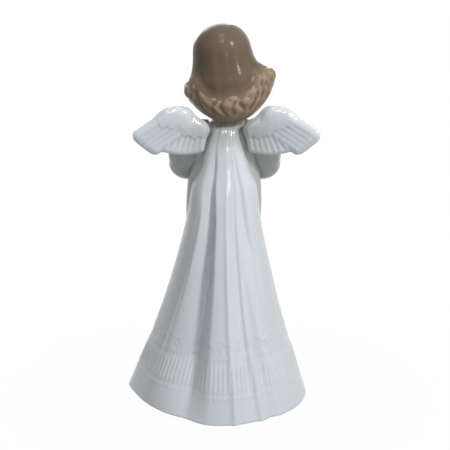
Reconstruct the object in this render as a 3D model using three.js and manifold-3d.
// Porcelain angel figurine: a hollow gown with a folded train, a head with bobbed and flipped hair, two
// feathered wings, two full sleeves and a pair of hands pressed together.
// Millimetres, +Z up. The angel faces -Y and +X is the angel's left side.
// Each casting is its own solid, cut back by the castings it was luted to.
import * as THREE from "three";
import { mergeVertices } from "three/addons/utils/BufferGeometryUtils.js";
import Module from "manifold-3d";

const wasm = await Module();
wasm.setup();
const { clamp, degToRad, euclideanModulo, lerp, smoothstep } = THREE.MathUtils;

// Casting
const SEAM = 0.3; // left at every luted joint
const WALL = 3.2; // cast wall of the gown
const FACET = 0.08; // how far a surface may be flattened to save triangles
const WELD = 1e-4; // points nearer than this are one point
const ROD_SIDES = 8;
const ROD_END_STEPS = 2;

// Driving sizes of the gown
const GOWN_HEIGHT = 152;
const HEM_HALF = 49.6;
const HEM_BACK = 50;
const HEM_FRONT = 46;
const HEM_SWAY = 5.6; // how far the hem lies to the left of the neck
const BODY_HALF = 18.4;
const BODY_BACK = 12.6;
const BODY_FRONT = 15;

// Heights of the gown's sections
const HEM_Z = 0;
const SKIRT_Z = 0.263 * GOWN_HEIGHT;
const HIP_Z = 0.434 * GOWN_HEIGHT;
const WAIST_Z = 0.658 * GOWN_HEIGHT;
const BUST_Z = 0.77 * GOWN_HEIGHT;
const CHEST_Z = 0.829 * GOWN_HEIGHT;
const SHOULDER_Z = 0.957 * GOWN_HEIGHT;
const COLLAR_Z = GOWN_HEIGHT;
const CAVITY_TOP = 0.882 * GOWN_HEIGHT;

// Bell of the skirt and train, in shares of the hem's sizes. square is 2 for an oval section and more for
// a boxier one, fold the share of a front pleat's full depth
const BELL = [
  { z: HEM_Z, half: 1, back: 1, front: 1, square: 2, fold: 0.35 },
  { z: SKIRT_Z, half: 0.718, back: 0.77, front: 0.717, square: 2, fold: 1 },
  { z: HIP_Z, half: 0.558, back: 0.63, front: 0.543, square: 2.1, fold: 1 },
  { z: WAIST_Z, half: 0.391, back: 0.456, front: 0.359, square: 2.6, fold: 0.8 },
  { z: BUST_Z, half: 0.343, back: 0.382, front: 0.28, square: 2.9, fold: 0.7 },
  { z: CHEST_Z, half: 0.276, back: 0.344, front: 0.239, square: 3, fold: 0.6 },
  { z: SHOULDER_Z, half: 0.165, back: 0.252, front: 0.152, square: 3, fold: 0.3 },
  { z: COLLAR_Z, half: 0.129, back: 0.144, front: 0.13, square: 3, fold: 0 },
];
// Body inside it, which shows at the sides of the train, in shares of the body's sizes at the chest
const TORSO = [
  { z: HIP_Z, half: 0.9, back: 0.98, front: 0.9 },
  { z: WAIST_Z, half: 1.082, back: 1.151, front: 1.1 },
  { z: CHEST_Z, half: 1, back: 1, front: 1 },
  { z: SHOULDER_Z, half: 0.783, back: 0.794, front: 0.76 },
  { z: COLLAR_Z, half: 0.446, back: 0.651, front: 0.56 },
];
// Line of the middle, in shares of the hem's sway
const AXIS = [
  { z: HEM_Z, sway: 1 },
  { z: SKIRT_Z, sway: 0.714 },
  { z: HIP_Z, sway: 0.464 },
  { z: WAIST_Z, sway: 0.268 },
  { z: CHEST_Z, sway: 0.161 },
  { z: SHOULDER_Z, sway: 0.089 },
  { z: COLLAR_Z, sway: -0.321 },
];
const TRAIN_SOFTNESS = 0.5; // rounding of the crease where the train meets the body
const GOWN_COLUMNS = 120;
const GOWN_RINGS = 24;
const RING_CROWDING = 1.5; // above 1 the rings crowd towards the collar
const CAVITY_RINGS = 9;

// Pleats of the train, all laid to the left: from a crest the cloth drops to a valley, then climbs along a
// flat panel to its end. Heights are shares of the gown's height, low to high; places are shares of the
// half-width towards the left
const PLEATS = [
  {
    rise: [0, 0.09, 0.2, 0.46, 0.66, 0.79, 0.91],
    crest: [0.1, 0.11, 0.12, 0.16, 0.2, 0.27, 0.3],
    valley: [0.34, 0.35, 0.36, 0.36, 0.33, 0.38, 0.44],
    end: [0.74, 0.75, 0.76, 0.69, 0.64, 0.66, 0.7],
    deep: [3.5, 7.5, 10, 9.4, 6, 2.2, 0.4],
  },
  {
    rise: [0.05, 0.2, 0.39, 0.53, 0.66, 0.74],
    crest: [0.84, 0.77, 0.71, 0.67, 0.63, 0.6],
    valley: [0.92, 0.85, 0.79, 0.75, 0.7, 0.66],
    end: [1, 1, 1, 1, 1, 1],
    deep: [0.4, 1.1, 1.2, 1, 0.6, 0],
  },
  {
    rise: [0.26, 0.39, 0.53, 0.66, 0.79, 0.91],
    crest: [-0.84, -0.82, -0.77, -0.66, -0.57, -0.54],
    valley: [-0.76, -0.74, -0.69, -0.57, -0.47, -0.42],
    end: [-0.5, -0.46, -0.4, -0.3, -0.2, -0.2],
    deep: [0.3, 0.5, 0.9, 1.2, 0.6, 0.2],
  },
  {
    rise: [0, 0.2, 0.39, 0.49],
    crest: [-0.68, -0.64, -0.56, -0.52],
    valley: [-0.6, -0.55, -0.49, -0.46],
    end: [-0.5, -0.46, -0.42, -0.4],
    deep: [1.6, 2.2, 1, 0],
  },
];
const PLEAT_CREST = 0.12; // rounding of the crests, as a share of the depth
const PLEAT_VALLEY = 0.25; // rounding of the valleys
const PLEATS_FADE = 0.3; // cosine of the bearing at which the pleats of the back are at full depth

const FRONT_PLEATS = { count: 7, first: 98, last: 262, depth: 2.2, spread: 6.5 };

// Flank: the hem is drawn in on the left of the back, less and less up to the waist
const FLANK = { bearing: 64, depth: 3, spread: 25, edge: 3 };

// Head, in a frame that stands on the neck and leans to the left
const NECK_PIVOT = new THREE.Vector3(-2.5, -1, COLLAR_Z - 2);
const HEAD_LEAN = 7.5; // degrees
const NECK_RADIUS = 5.2;
const NECK_FOOT = 12; // how far the neck reaches down into the gown
const NECK_TOP = 10; // how far it reaches up into the head
const NECK_BORE = 2.6;
const CHIN = { z: 5.2, half: 3, back: -7, front: 13.6 };
const JAW = { z: 10, half: 9.4, back: 2, front: 16.2 };
const CHEEK = { z: 17, half: 12.8, back: 9, front: 16.9 };
const EYES = { z: 23.5, half: 13.8, back: 13, front: 16.2 };
const BROW = { z: 30, half: 14.2, back: 14.8, front: 16.2 };
const SCALP = { z: 39, half: 10.8, back: 11.6, front: 12.4 };
const POLL = { z: 43.6, half: 4, back: 4.4, front: 5 };
const HEAD = [CHIN, JAW, CHEEK, EYES, BROW, SCALP, POLL];
const HEAD_COLUMNS = 24;
const HEAD_RINGS = 15;
const NOSE = { at: [0, -16.8, 19.4], radii: [1.5, 2, 2.4] };
const SKULL = { at: [0, -1, 27], radii: [14.2, 15.6, 17] }; // the ball that hair is laid on
const HEAD_HOLLOW = 9.5;

// Cap of hair: a bell turned round the head's axis, as radius and height from its foot up
const CROWN_FOOT = 9;
const CROWN_TOP = 50.3;
const CROWN_PROFILE = [
  [16.8, CROWN_FOOT],
  [18.6, 20.5],
  [17.8, 28.7],
  [14.6, 40],
  [9.6, 47.4],
  [0, CROWN_TOP],
];
const CROWN_AT = [0, -0.6];
const CROWN_FLARE = { at: [-17, 1.3, 20], radii: [6.4, 8, 8] }; // drawn out towards the right flick
const CROWN_SIDES = 28;
const CROWN_STEPS = 14;
const FACE_WINDOW = { z: 19, half: 14, height: 24, depth: 3, sides: 28 };

// Roll of hair round the nape: bearings run from the left ear by way of the nape, the section is an oval
const NAPE = { shift: -1.4, half: 18, back: 14.4 };
const ROLL = { from: 12, to: 168, overhang: 14, rings: 56, sides: 12 };
const ROLL_TOP = { nape: 14.1, ear: 23.2, rise: 0.36 };
const ROLL_FOOT = { nape: 0.4, ear: 10.6 };
const ROLL_OUT = 4.9;
const ROLL_LEAN = 0.25; // how far the section leans out as it rises
const ROLL_END = 0.25; // share of the section left at its very ends
const GROOVES = {
  bearings: [24, 50, 63, 76, 86, 95, 104, 114, 127, 140, 155],
  depth: 0.5,
  spread: 3,
  slant: 0.4, // degrees that a groove leans for each millimetre up
};
const GROOVE_FADE = [-7, 1]; // heights over which the grooves run out, from the middle of the section

const LEFT_FLICK = [
  { at: [18.2, -1.2, 18.8], radii: [4.2, 5, 4.6] },
  { at: [19.8, -2.6, 17.4], radii: [2.4, 3, 3] },
];
const RIGHT_FLICK = [
  { at: [-20, -1, 18.8], radii: [4.6, 5.4, 5.4] },
  { at: [-22.8, -1.4, 21], radii: [3, 3.4, 3.4] },
];

// Fringe: locks laid on the skull from a parting, by bearing from the nose and height angle in degrees
const PARTING = [5, 60];
const LEFT_LOCKS = [[22, 24], [44, 16], [64, -2]];
const RIGHT_LOCKS = [[-12, 25], [-34, 19], [-60, 0]];
const LOCK_RADII = [2.6, 4.2, 4, 1];
const LOCK_BOW = 9; // degrees that the middle of a lock stands above the straight way
const LOCK_SIDES = 8;
const LOCK_RINGS = 7;

// Wings, in a frame at the root of the left wing: out along the wing and up
const WING_ROOT = new THREE.Vector3(0.462 * BODY_HALF, 0.873 * BODY_BACK, SHOULDER_Z + 0.5);
const WING_SWEEP = 12; // degrees that the wing trails behind the shoulders
const COVERTS = [
  { at: [17.2, 7.4, 0], radii: [9.4, 6.8, 3.7], turn: -10 },
  { at: [23.6, 6.4, 0], radii: [5.2, 4.2, 2.8], turn: -40 },
  { at: [6.6, 1.2, 0], radii: [7.4, 6.2, 3.7], turn: 14 },
  { at: [13, 2, 0], radii: [6.8, 5, 3.6], turn: 35 },
];
const PRIMARIES = {
  count: 5,
  from: [[20.6, 9], [17, -1]],
  to: [[36.6, -1.2], [28, -8.2]],
  radius: 3.3,
  thick: 1.9,
};
const SECONDARIES = {
  count: 7,
  from: [[18.6, 0], [3.4, 0]],
  to: [[22.8, -8.2], [5, -9]],
  radius: 2.4,
  thick: 2.1,
  sag: 1.2, // how much lower the middle ones hang
};

// Sleeves and hands of the left side, mirrored for the right. The sleeve's path starts in the shoulder
const SHOULDER_JOINT = new THREE.Vector3(0.641 * BODY_HALF, 0.5, SHOULDER_Z - 1.9);
const SLEEVE_STEPS = [
  [0, 0, 0],
  [7.4, -2, -9.1],
  [8.8, -6.5, -17],
  [2.6, -17.7, -19],
  [-5.2, -24.7, -17],
];
const SLEEVE_PATH = SLEEVE_STEPS.map((step) => new THREE.Vector3(...step).add(SHOULDER_JOINT));
const SLEEVE_RADII = [7.6, 8, 8, 7.4, 6.6];
const SLEEVE_SIDES = 14;
const SLEEVE_RINGS = 12;
const CUFF_WALL = 1.4;
const CUFF_DEPTH = 5.5;
const WRIST_RADIUS = 2.5;
const HEEL_FROM_CUFF = new THREE.Vector3(-3.8, -3.2, 4);
const PALM = { offset: [-0.6, -2, 4], radii: [2, 3.3, 4.8], turn: 20 };
const THUMB = { root: [-0.6, 0.2, 2.8], tip: [-1, 1.4, 8.2], radius: 1.05 };
const FINGER = {
  count: 4,
  radius: 1.05,
  length: 6.6,
  pitch: 1.75,
  lean: 24,
  root: [-0.45, 0, 2.2],
  in: 0.4,
};
const FINGER_STEP = 0.25; // each finger's root stands this much above the one before
const LONGEST_FINGER = 1.4; // counted from the thumb's side, from 0
const FINGER_FALL = 0.55; // loss of length by the square of the way from the longest finger

const PORCELAIN = new THREE.MeshStandardMaterial({ color: 0xdfe3e6, roughness: 0.12, metalness: 0 });
const HAIR_GLAZE = new THREE.MeshStandardMaterial({ color: 0x7d6a58, roughness: 0.14, metalness: 0 });
const FLESH_GLAZE = new THREE.MeshStandardMaterial({ color: 0xeed6c6, roughness: 0.18, metalness: 0 });

// Solids from three.js geometries

// A closed geometry as a solid that can be joined and cut
function solidOf(geometry) {
  const bare = geometry.clone();
  bare.deleteAttribute("normal");
  bare.deleteAttribute("uv");
  const merged = mergeVertices(bare, WELD);
  const triVerts = [];
  for (let i = 0; i < merged.index.count; i += 3) {
    const [a, b, c] = [0, 1, 2].map((k) => merged.index.getX(i + k));
    if (a !== b && b !== c && c !== a) triVerts.push(a, b, c);
  }
  const mesh = new wasm.Mesh({
    numProp: 3,
    vertProperties: new Float32Array(merged.attributes.position.array),
    triVerts: new Uint32Array(triVerts),
  });
  return new wasm.Manifold(mesh);
}

function geometryOf(solid) {
  const { vertProperties, triVerts } = solid.getMesh();
  const geometry = new THREE.BufferGeometry();
  geometry.setAttribute("position", new THREE.BufferAttribute(new Float32Array(vertProperties), 3));
  geometry.setIndex(new THREE.BufferAttribute(new Uint32Array(triVerts), 1));
  geometry.computeVertexNormals();
  return geometry;
}

const joined = (solids) => solids.reduce((whole, next) => whole.add(next));
const mirrored = (solid) => solid.mirror([1, 0, 0]);
const moved = (solid, matrix) => solid.transform(matrix.elements);
const listOf = (count, make) => Array.from({ length: count }, (_, k) => make(k));

// What is left of a casting once its neighbours are cut from it, without loose crumbs
function fitted(solid, ...neighbours) {
  const cut = neighbours.reduce((left, neighbour) => left.subtract(neighbour), solid);
  return cut.decompose().reduce((most, next) => (next.volume() > most.volume() ? next : most));
}

// Rounded body with three radii, turned about one axis of its own frame, grown outwards by a margin
function ellipsoid({ at, radii, turn = 0 }, { axis = "z", grow = 0, sides = 14, rows = 10 } = {}) {
  const geometry = new THREE.SphereGeometry(1, sides, rows);
  geometry.scale(...radii.map((radius) => radius + grow));
  const angle = degToRad(turn);
  if (axis === "x") geometry.rotateX(angle);
  else geometry.rotateZ(angle);
  geometry.translate(...at);
  return solidOf(geometry);
}

// Round-ended rod between two points
function rod(start, end, radius) {
  const along = end.clone().sub(start);
  const geometry = new THREE.CapsuleGeometry(radius, along.length(), ROD_END_STEPS, ROD_SIDES);
  const up = new THREE.Vector3(0, 1, 0);
  geometry.applyQuaternion(new THREE.Quaternion().setFromUnitVectors(up, along.normalize()));
  const middle = start.clone().add(end).multiplyScalar(0.5);
  geometry.translate(middle.x, middle.y, middle.z);
  return solidOf(geometry);
}

// Upright cylinder between two heights
function post(x, y, low, high, radius, sides = 24) {
  const geometry = new THREE.CylinderGeometry(radius, radius, high - low, sides);
  geometry.rotateX(Math.PI / 2);
  geometry.translate(x, y, (low + high) / 2);
  return solidOf(geometry);
}

// Closed skin over a stack of rings with the same number of points, flat at both ends
function skin(rings) {
  const columns = rings[0].length;
  const positions = rings.flat().flatMap((p) => [p.x, p.y, p.z]);
  const index = [];
  for (let i = 0; i + 1 < rings.length; i++) {
    for (let j = 0; j < columns; j++) {
      const [a, b] = [i * columns + j, i * columns + ((j + 1) % columns)];
      index.push(a, b, b + columns, a, b + columns, a + columns);
    }
  }
  const lid = (ring, first, flipped) => {
    const middle = ring.reduce((sum, p) => sum.add(p), new THREE.Vector3()).divideScalar(columns);
    const hub = positions.length / 3;
    positions.push(middle.x, middle.y, middle.z);
    for (let j = 0; j < columns; j++) {
      const [a, b] = [first + j, first + ((j + 1) % columns)];
      index.push(hub, flipped ? b : a, flipped ? a : b);
    }
  };
  lid(rings[0], 0, true);
  lid(rings.at(-1), (rings.length - 1) * columns, false);
  const geometry = new THREE.BufferGeometry();
  geometry.setAttribute("position", new THREE.Float32BufferAttribute(positions, 3));
  geometry.setIndex(index);
  return solidOf(geometry);
}

// Round tube with a changing radius along a smooth path through points, as a stack of rings
function tubeRings(points, radii, sides, count, margin = 0) {
  const path = new THREE.CatmullRomCurve3(points);
  const frames = path.computeFrenetFrames(count);
  return listOf(count + 1, (i) => {
    const place = (i / count) * (radii.length - 1);
    const low = Math.min(Math.floor(place), radii.length - 2);
    const radius = lerp(radii[low], radii[low + 1], smoothstep(place - low, 0, 1)) + margin;
    return listOf(sides, (j) => {
      const angle = (2 * Math.PI * j) / sides;
      return path
        .getPointAt(i / count)
        .addScaledVector(frames.normals[i], radius * Math.cos(angle))
        .addScaledVector(frames.binormals[i], radius * Math.sin(angle));
    });
  });
}

// A size at a height, on a smooth curve through stations
function alongStations(stations, z, key) {
  const last = stations.length - 1;
  const height = clamp(z, stations[0].z, stations[last].z);
  let i = 0;
  while (i < last - 1 && stations[i + 1].z < height) i++;
  const secant = (k) => (stations[k + 1][key] - stations[k][key]) / (stations[k + 1].z - stations[k].z);
  const slope = (k) => (secant(Math.max(k - 1, 0)) + secant(Math.min(k, last - 1))) / 2;
  const step = stations[i + 1].z - stations[i].z;
  const t = (height - stations[i].z) / step;
  const ease = t * t * (3 - 2 * t);
  const bow = t * (1 - t) * (1 - t) * slope(i) - t * t * (1 - t) * slope(i + 1);
  return stations[i][key] * (1 - ease) + stations[i + 1][key] * ease + step * bow;
}

// A value on straight lines between knots, level beyond the first and last
function betweenKnots(knots, values, at) {
  let i = 0;
  while (i < knots.length - 2 && knots[i + 1] < at) i++;
  return lerp(values[i], values[i + 1], clamp((at - knots[i]) / (knots[i + 1] - knots[i]), 0, 1));
}

// Larger of two values, rounded where they cross
function softMax(a, b, soft) {
  const share = clamp(0.5 + (a - b) / (2 * soft), 0, 1);
  return lerp(b, a, share) + soft * share * (1 - share);
}

// Gown

// Soft hollow round a bearing, with steeper sides the higher its edge
function dent({ bearing, depth, spread, edge = 2 }, at) {
  const away = euclideanModulo(at - bearing + 180, 360) - 180;
  return depth * Math.exp(-(Math.abs(away / spread) ** edge));
}

const frontPleats = listOf(FRONT_PLEATS.count, (k) => {
  const bearing = lerp(FRONT_PLEATS.first, FRONT_PLEATS.last, k / (FRONT_PLEATS.count - 1));
  return { ...FRONT_PLEATS, bearing };
});

// Depth of one pleat of the train, at a share of the half-width towards the left
function pleatDepth(pleat, z, across) {
  const at = (key) => betweenKnots(pleat.rise, pleat[key], z / GOWN_HEIGHT);
  const drop = (across - at("crest")) / (at("valley") - at("crest"));
  const climb = (at("end") - across) / (at("end") - at("valley"));
  const sunk = -softMax(-drop, -climb, PLEAT_VALLEY);
  return (at("deep") * (sunk + Math.hypot(sunk, PLEAT_CREST))) / 2;
}

function foldDepth(z, bearing) {
  const angle = degToRad(bearing);
  const behind = smoothstep(Math.cos(angle), 0, PLEATS_FADE);
  const train = PLEATS.reduce((sum, pleat) => sum + pleatDepth(pleat, z, Math.sin(angle)), 0);
  const front = frontPleats.reduce((sum, pleat) => sum + dent(pleat, bearing), 0);
  const drawnIn = 1 - smoothstep(z, HEM_Z, WAIST_Z);
  return behind * train + front * alongStations(BELL, z, "fold") + dent(FLANK, bearing) * drawnIn;
}

// Point of the gown's surface, set out or in by a margin
function gownPoint(z, bearing, margin) {
  const angle = degToRad(bearing);
  const across = Math.sin(angle);
  const behind = Math.cos(angle) > 0;
  const [bellY, torsoY] = behind
    ? [HEM_BACK * alongStations(BELL, z, "back"), BODY_BACK * alongStations(TORSO, z, "back")]
    : [-HEM_FRONT * alongStations(BELL, z, "front"), BODY_FRONT * alongStations(TORSO, z, "front")];
  const half = HEM_HALF * alongStations(BELL, z, "half");
  const square = alongStations(BELL, z, "square");
  const [x, y] = [half * across, bellY * Math.max(1 - Math.abs(across) ** square, 0) ** (1 / square)];
  const bell = Math.hypot(x, y);
  const [wayX, wayY] = [x / bell, y / bell];
  const torso = 1 / Math.hypot(wayX / (BODY_HALF * alongStations(TORSO, z, "half")), wayY / torsoY);
  const radius = softMax(bell - foldDepth(z, bearing), torso, TRAIN_SOFTNESS) + margin;
  const sway = HEM_SWAY * alongStations(AXIS, z, "sway");
  return new THREE.Vector3(sway + wayX * radius, wayY * radius, z);
}

// Bearings run clockwise from above, so the columns are taken backwards to face out
function gownRing(z, margin, height = z) {
  return listOf(GOWN_COLUMNS, (j) => gownPoint(z, (-360 * j) / GOWN_COLUMNS, margin).setZ(height));
}

function gownSkin(margin) {
  const rings = listOf(GOWN_RINGS + 1, (i) => {
    const rise = 1 - (1 - i / GOWN_RINGS) ** RING_CROWDING;
    return gownRing(COLLAR_Z * rise, margin);
  });
  if (margin > 0) rings.push(gownRing(COLLAR_Z, margin, COLLAR_Z + margin));
  return skin(rings);
}

function gownCavity() {
  const below = gownRing(HEM_Z, -WALL, HEM_Z - WALL);
  const rings = listOf(CAVITY_RINGS + 1, (i) => gownRing((CAVITY_TOP * i) / CAVITY_RINGS, -WALL));
  return skin([below, ...rings]);
}

const gownGrown = gownSkin(SEAM);
const neckSocket = post(NECK_PIVOT.x, NECK_PIVOT.y, CAVITY_TOP - WALL, COLLAR_Z + WALL, NECK_RADIUS + SEAM);
const gown = gownSkin(0).subtract(gownCavity()).subtract(neckSocket);

// Head and hair, in the head's own frame

const headFrame = new THREE.Group();
headFrame.position.copy(NECK_PIVOT);
headFrame.rotation.y = degToRad(HEAD_LEAN);
headFrame.updateMatrixWorld(true);
const intoHead = headFrame.matrixWorld.clone().invert();
const gownInHead = moved(gownGrown, intoHead);

// The neck stands upright in its socket, so it is drawn in the gown's frame and brought into the head's
function neckPost(below, above, radius) {
  const upright = post(NECK_PIVOT.x, NECK_PIVOT.y, NECK_PIVOT.z - below, NECK_PIVOT.z + above, radius);
  return moved(upright, intoHead);
}

// Face and skull as a stack of ovals from the chin to the top
function headBlank(grow) {
  const rings = listOf(HEAD_RINGS + 1, (i) => {
    const rise = (1 - Math.cos((Math.PI * i) / HEAD_RINGS)) / 2;
    const z = lerp(CHIN.z, POLL.z, rise);
    const [half, back, front] = ["half", "back", "front"].map((key) => alongStations(HEAD, z, key) + grow);
    return listOf(HEAD_COLUMNS, (j) => {
      const angle = (2 * Math.PI * j) / HEAD_COLUMNS;
      const y = (back - front) / 2 + ((back + front) / 2) * Math.sin(angle);
      return new THREE.Vector3(half * Math.cos(angle), y, lerp(z - grow, z + grow, rise));
    });
  });
  return skin(rings).add(ellipsoid(NOSE, { grow, sides: 8, rows: 6 }));
}

const neck = neckPost(NECK_FOOT, NECK_TOP, NECK_RADIUS);

function head() {
  const hollow = ellipsoid({ at: SKULL.at, radii: [HEAD_HOLLOW, HEAD_HOLLOW, HEAD_HOLLOW] });
  const bore = neckPost(2 * NECK_FOOT, SKULL.at[2], NECK_BORE);
  return headBlank(0).add(neck).subtract(hollow).subtract(bore);
}

const headGrown = headBlank(SEAM).add(neck);

function crownBell(grow) {
  const curve = new THREE.SplineCurve(CROWN_PROFILE.map((p) => new THREE.Vector2(...p)));
  const side = curve.getPoints(CROWN_STEPS).map(({ x, y }) => new THREE.Vector2(Math.max(x, 0), y));
  const grown = side.slice(0, -1).map(({ x, y }) => new THREE.Vector2(x + grow, y));
  const profile = [new THREE.Vector2(0, CROWN_FOOT), ...grown, new THREE.Vector2(0, CROWN_TOP + grow)];
  const geometry = new THREE.LatheGeometry(profile, CROWN_SIDES);
  geometry.rotateX(Math.PI / 2);
  geometry.translate(...CROWN_AT, 0);
  return solidOf(geometry).add(ellipsoid(CROWN_FLARE, { grow }));
}

// Upright oval prism open to the front, through which the face looks out
function faceWindow() {
  const oval = new THREE.CylinderGeometry(1, 1, CROWN_TOP, FACE_WINDOW.sides);
  oval.scale(FACE_WINDOW.half, 1, FACE_WINDOW.height);
  oval.translate(0, -CROWN_TOP / 2 - FACE_WINDOW.depth, FACE_WINDOW.z);
  return solidOf(oval);
}

const crownShape = (grow) => crownBell(grow).subtract(faceWindow());

// How deep the grooves between the locks are at a bearing and a height from the middle of the section
function grooveDepth(bearing, up) {
  const slanted = bearing - GROOVES.slant * up;
  const depth = GROOVES.bearings.reduce(
    (sum, at) => sum + GROOVES.depth * Math.exp(-(((slanted - at) / GROOVES.spread) ** 2)),
    0,
  );
  return depth * smoothstep(up, ...GROOVE_FADE);
}

// Oval section of the roll at a bearing, small beyond its ends
function rollRing(bearing, grow) {
  const angle = degToRad(bearing);
  const aside = 1 - clamp(Math.sin(angle), 0, 1);
  const top = lerp(ROLL_TOP.nape, ROLL_TOP.ear, smoothstep(aside, 0, ROLL_TOP.rise));
  const foot = lerp(ROLL_FOOT.nape, ROLL_FOOT.ear, aside);
  const beyond = Math.max(ROLL.from - bearing, bearing - ROLL.to, 0) / ROLL.overhang;
  const share = Math.max(Math.sqrt(1 - Math.min(beyond, 1) ** 2), ROLL_END);
  const along = new THREE.Vector3(NAPE.half * Math.cos(angle), NAPE.back * Math.sin(angle), 0);
  const middle = along.clone().add(new THREE.Vector3(NAPE.shift, 0, (top + foot) / 2));
  const outward = along.clone().normalize();
  return listOf(ROLL.sides, (j) => {
    const turn = (-2 * Math.PI * j) / ROLL.sides;
    const up = ((top - foot) / 2 + grow) * share * Math.sin(turn);
    const cut = grooveDepth(bearing, up) * Math.max(Math.cos(turn), 0);
    const out = (ROLL_OUT + grow) * share * Math.cos(turn) + ROLL_LEAN * up - cut;
    return middle.clone().addScaledVector(outward, out).add(new THREE.Vector3(0, 0, up));
  });
}

function rollShape(grow) {
  const [first, last] = [ROLL.from - ROLL.overhang, ROLL.to + ROLL.overhang];
  return skin(listOf(ROLL.rings + 1, (i) => rollRing(lerp(first, last, i / ROLL.rings), grow)));
}

const flick = (lumps) => joined(lumps.map((lump) => ellipsoid(lump)));

// Point on the skull by bearing from the nose towards the left and by height angle
function onSkull([bearing, height]) {
  const [turn, rise] = [bearing, height].map(degToRad);
  const way = [Math.sin(turn) * Math.cos(rise), -Math.cos(turn) * Math.cos(rise), Math.sin(rise)];
  return new THREE.Vector3(...way.map((share, k) => SKULL.at[k] + share * SKULL.radii[k]));
}

// One lock from the parting down to its end
function lock(end) {
  const last = LOCK_RADII.length - 1;
  const points = LOCK_RADII.map((_, k) => {
    const bow = LOCK_BOW * Math.sin((Math.PI * k) / last);
    return onSkull([lerp(PARTING[0], end[0], k / last), lerp(PARTING[1], end[1], k / last) + bow]);
  });
  return skin(tubeRings(points, LOCK_RADII, LOCK_SIDES, LOCK_RINGS));
}

const fringe = joined([...LEFT_LOCKS, ...RIGHT_LOCKS].map(lock));

const crownGrown = crownShape(SEAM);
const rollGrown = rollShape(SEAM);
const hairCrown = fitted(crownShape(0), headGrown);
const hairRoll = fitted(rollShape(0), crownGrown, headGrown, gownInHead);
const leftFlick = fitted(flick(LEFT_FLICK), crownGrown, rollGrown, headGrown);
const rightFlick = fitted(flick(RIGHT_FLICK), crownGrown, rollGrown, headGrown);
const hairFringe = fitted(fringe, crownGrown, headGrown);

// Sleeves

const sleeveRings = (margin) => tubeRings(SLEEVE_PATH, SLEEVE_RADII, SLEEVE_SIDES, SLEEVE_RINGS, margin);
const cuffAim = new THREE.CatmullRomCurve3(SLEEVE_PATH).getTangentAt(1);

function sleeveBlank(margin) {
  const radii = [SLEEVE_RADII[0], SLEEVE_RADII[0], SLEEVE_RADII[0]];
  const shoulder = ellipsoid({ at: SHOULDER_JOINT.toArray(), radii }, { grow: margin });
  return skin(sleeveRings(margin)).add(shoulder);
}

// Hollow of the cuff: the mouth of the sleeve, less the cuff's wall, sunk along the arm
function cuffHollow() {
  const mouth = sleeveRings(-CUFF_WALL).at(-1);
  const slide = (distance) => mouth.map((p) => p.clone().addScaledVector(cuffAim, distance));
  return skin([slide(-CUFF_DEPTH), slide(CUFF_DEPTH)]);
}

// Half of space on the left of the middle plane, less half a seam
function leftHalf() {
  const reach = 4 * HEM_HALF;
  const half = new THREE.BoxGeometry(reach, reach, reach);
  half.translate(SEAM / 2 + reach / 2, 0, COLLAR_Z);
  return solidOf(half);
}

// The arms are drawn about the middle of the chest
const chestSway = HEM_SWAY * alongStations(AXIS, CHEST_Z, "sway");
const onLeft = (solid) => solid.translate([chestSway, 0, 0]);
const onRight = (solid) => onLeft(mirrored(solid));

const sleeve = sleeveBlank(0).subtract(cuffHollow()).intersect(leftHalf());
const sleeveGrown = sleeveBlank(SEAM);
const leftSleeve = fitted(onLeft(sleeve), gownGrown);
const rightSleeve = fitted(onRight(sleeve), gownGrown);

// Hands

function finger(k, knuckles) {
  const lean = degToRad(FINGER.lean);
  const aside = ((FINGER.count - 1) / 2 - k) * FINGER.pitch;
  const base = knuckles.clone().add(new THREE.Vector3(0, aside, FINGER_STEP * k));
  const length = FINGER.length - FINGER_FALL * (k - LONGEST_FINGER) ** 2;
  const way = new THREE.Vector3(-FINGER.in, -length * Math.sin(lean), length * Math.cos(lean));
  return rod(base, base.clone().add(way), FINGER.radius);
}

function hand() {
  const cuff = SLEEVE_PATH.at(-1);
  const foot = cuff.clone().addScaledVector(cuffAim, WRIST_RADIUS + SEAM - CUFF_DEPTH);
  const heel = cuff.clone().add(HEEL_FROM_CUFF);
  const fromHeel = (offset) => heel.clone().add(new THREE.Vector3(...offset));
  const palmAt = fromHeel(PALM.offset);
  const knuckles = palmAt.clone().add(new THREE.Vector3(...FINGER.root));
  const palm = ellipsoid({ at: palmAt.toArray(), radii: PALM.radii, turn: PALM.turn }, { axis: "x" });
  const thumb = rod(fromHeel(THUMB.root), fromHeel(THUMB.tip), THUMB.radius);
  const fingers = listOf(FINGER.count, (k) => finger(k, knuckles));
  return joined([rod(foot, heel, WRIST_RADIUS), palm, thumb, ...fingers]).intersect(leftHalf());
}

const leftHand = fitted(onLeft(hand()), leftSleeve, gownGrown);
const rightHand = fitted(onRight(hand()), rightSleeve, gownGrown);

// Wings

// Flattened quill from a root to a tip in the plane of the wing
function feather(from, to, radius, thick) {
  const way = new THREE.Vector2(to[0] - from[0], to[1] - from[1]);
  const geometry = new THREE.CapsuleGeometry(radius, way.length(), ROD_END_STEPS, ROD_SIDES);
  geometry.scale(1, 1, thick / radius);
  geometry.rotateZ(way.angle() - Math.PI / 2);
  geometry.translate((from[0] + to[0]) / 2, (from[1] + to[1]) / 2, 0);
  return solidOf(geometry);
}

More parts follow.
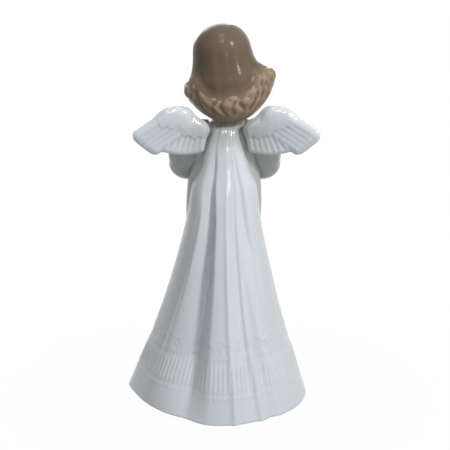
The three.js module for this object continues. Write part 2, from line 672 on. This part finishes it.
function featherRow({ count, from, to, radius, thick, sag = 0 }) {
  const across = ([a, b], share) => [lerp(a[0], b[0], share), lerp(a[1], b[1], share)];
  return listOf(count, (k) => {
    const share = k / (count - 1);
    const [tipX, tipY] = across(to, share);
    return feather(across(from, share), [tipX, tipY - sag * Math.sin(Math.PI * share)], radius, thick);
  });
}

// Left wing in the figure's frame: the wing's plane is stood up, then trails back from the root
function wingBlank() {
  const coverts = COVERTS.map((covert) => ellipsoid(covert, { rows: 8 }));
  const flat = joined([...coverts, ...featherRow(PRIMARIES), ...featherRow(SECONDARIES)]);
  const stand = new THREE.Matrix4().makeRotationX(Math.PI / 2);
  const sweep = new THREE.Matrix4().makeRotationZ(degToRad(WING_SWEEP)).setPosition(WING_ROOT);
  return moved(flat, sweep.multiply(stand));
}

const besideWings = gownGrown.add(moved(rollGrown, headFrame.matrixWorld));
const leftWing = fitted(wingBlank(), besideWings, onLeft(sleeveGrown));
const rightWing = fitted(mirrored(wingBlank()), besideWings, onRight(sleeveGrown));

// Assembly

function piece(name, solid, material) {
  const mesh = new THREE.Mesh(geometryOf(solid.simplify(FACET)), material);
  mesh.name = name;
  return mesh;
}

headFrame.add(
  piece("head", head(), FLESH_GLAZE),
  piece("hair_crown", hairCrown, HAIR_GLAZE),
  piece("hair_roll", hairRoll, HAIR_GLAZE),
  piece("left_flick", leftFlick, HAIR_GLAZE),
  piece("right_flick", rightFlick, HAIR_GLAZE),
  piece("fringe", hairFringe, HAIR_GLAZE),
);

const figure = new THREE.Group();
figure.add(
  piece("gown", gown, PORCELAIN),
  piece("left_sleeve", leftSleeve, PORCELAIN),
  piece("right_sleeve", rightSleeve, PORCELAIN),
  piece("left_hand", leftHand, FLESH_GLAZE),
  piece("right_hand", rightHand, FLESH_GLAZE),
  piece("left_wing", leftWing, PORCELAIN),
  piece("right_wing", rightWing, PORCELAIN),
  headFrame,
);

// The origin is on the floor below the middle of the figure's box
const box = new THREE.Box3().setFromObject(figure, true);
const middle = box.getCenter(new THREE.Vector3());
figure.position.set(-middle.x, -middle.y, -box.min.z);

const angel = new THREE.Group();
angel.add(figure);

export default angel;
